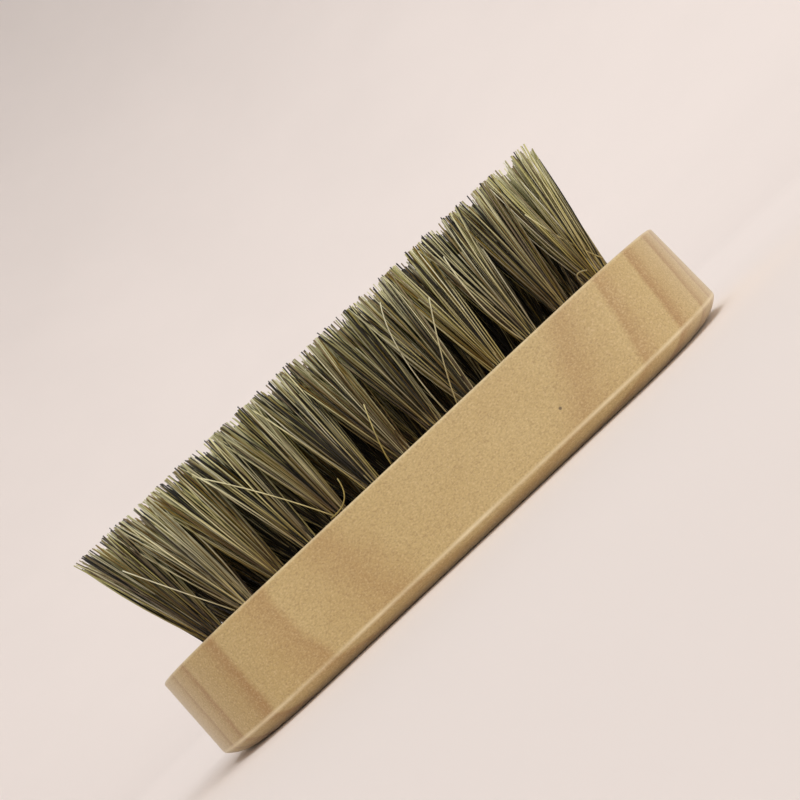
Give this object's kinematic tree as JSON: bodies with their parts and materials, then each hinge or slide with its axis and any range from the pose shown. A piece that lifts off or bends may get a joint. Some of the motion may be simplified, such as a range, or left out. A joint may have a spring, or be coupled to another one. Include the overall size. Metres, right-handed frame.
{
  "type": "beard brush",
  "caption": "Palm-held oval beard brush: solid wooden handle block with staple-set tufts of natural bristle, trimmed flat.",
  "frame": {"origin": "centre of the flat back of the handle block, which the brush rests on", "axes": "+Z is the way the bristles point, +X runs along the length of the handle, +Y across its width"},
  "size_m": [0.1, 0.045, 0.0358],
  "materials": {
    "wood": "satin",
    "staple_wire": "satin",
    "bristle": "matte"
  },
  "bodies": {
    "root": {"handle_block": "wood", "anchor_staples": "staple_wire", "tuft_row1_01": "bristle", "tuft_row1_02": "bristle", "tuft_row1_03": "bristle", "tuft_row1_04": "bristle", "tuft_row1_05": "bristle", "tuft_row1_06": "bristle", "tuft_row1_07": "bristle", "tuft_row1_08": "bristle", "tuft_row1_09": "bristle", "tuft_row1_10": "bristle", "tuft_row1_11": "bristle", "tuft_row1_12": "bristle", "tuft_row1_13": "bristle", "tuft_row2_01": "bristle", "tuft_row2_02": "bristle", "tuft_row2_03": "bristle", "tuft_row2_04": "bristle", "tuft_row2_05": "bristle", "tuft_row2_06": "bristle", "tuft_row2_07": "bristle", "tuft_row2_08": "bristle", "tuft_row2_09": "bristle", "tuft_row2_10": "bristle", "tuft_row2_11": "bristle", "tuft_row2_12": "bristle", "tuft_row2_13": "bristle", "tuft_row2_14": "bristle", "tuft_row3_01": "bristle", "tuft_row3_02": "bristle", "tuft_row3_03": "bristle", "tuft_row3_04": "bristle", "tuft_row3_05": "bristle", "tuft_row3_06": "bristle", "tuft_row3_07": "bristle", "tuft_row3_08": "bristle", "tuft_row3_09": "bristle", "tuft_row3_10": "bristle", "tuft_row3_11": "bristle", "tuft_row3_12": "bristle", "tuft_row3_13": "bristle", "tuft_row4_01": "bristle", "tuft_row4_02": "bristle", "tuft_row4_03": "bristle", "tuft_row4_04": "bristle", "tuft_row4_05": "bristle", "tuft_row4_06": "bristle", "tuft_row4_07": "bristle", "tuft_row4_08": "bristle", "tuft_row4_09": "bristle", "tuft_row4_10": "bristle", "tuft_row4_11": "bristle", "tuft_row4_12": "bristle", "tuft_row4_13": "bristle", "tuft_row4_14": "bristle"}
  },
  "joints": []
}
